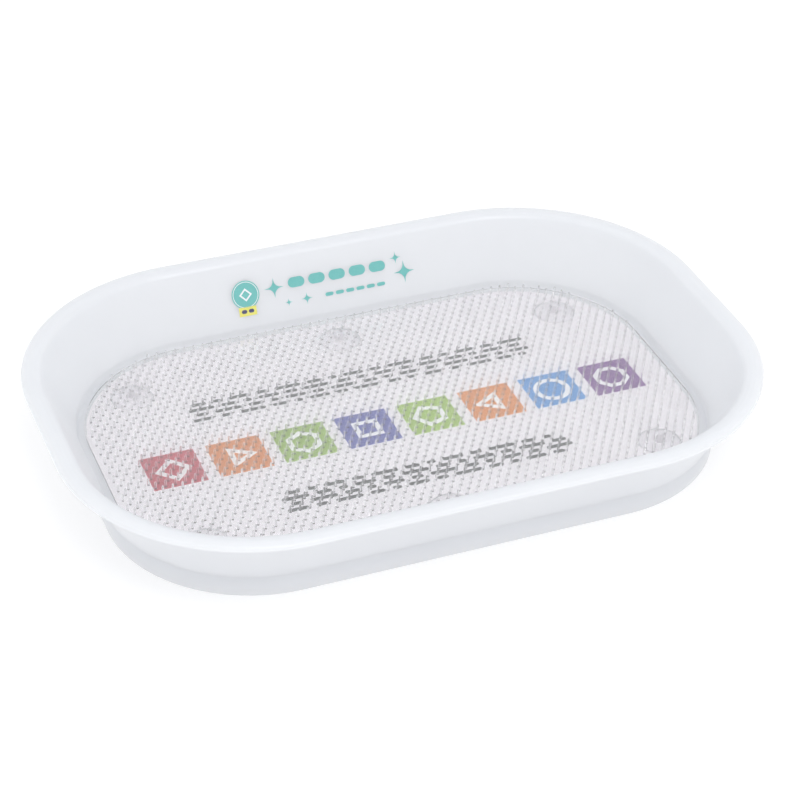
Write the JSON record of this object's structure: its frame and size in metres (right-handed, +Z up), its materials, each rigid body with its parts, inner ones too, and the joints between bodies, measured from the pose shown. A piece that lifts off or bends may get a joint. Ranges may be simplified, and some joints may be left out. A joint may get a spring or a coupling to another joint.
{
  "type": "counter tray",
  "caption": "Shallow rounded counter tray in milky plastic with a flared wall and flat rim, a printed card on its floor and a clear pimpled mat held by suckers.",
  "frame": {"origin": "on the table, under the middle of the tray", "axes": "+X along the length to the right, +Y to the back wall that carries the print, +Z up"},
  "size_m": [0.23, 0.16, 0.0295],
  "materials": {
    "milky_plastic": "smooth moulded translucent polypropylene, satin gloss",
    "printed_card": "white printed card",
    "clear_soft_plastic": "clear soft vinyl with a glossy surface",
    "clear_sucker": "clear soft vinyl, glossy",
    "printing_ink": "flat printing ink, several colours"
  },
  "bodies": {
    "tray": {"tray_body": "milky_plastic"},
    "card": {"message_card": "printed_card"},
    "mat": {"nub_mat": "clear_soft_plastic", "sucker_back_left": "clear_sucker", "sucker_back_middle": "clear_sucker", "sucker_back_right": "clear_sucker", "sucker_front_left": "clear_sucker", "sucker_front_middle": "clear_sucker", "sucker_front_right": "clear_sucker"}
  },
  "joints": [
    {"name": "card_lift", "type": "slide", "parent": "tray", "child": "card", "axis": [0, 0, 1], "range_m": [0, 0.04]},
    {"name": "mat_lift", "type": "slide", "parent": "card", "child": "mat", "axis": [0, 0, 1], "range_m": [0, 0.04]}
  ]
}
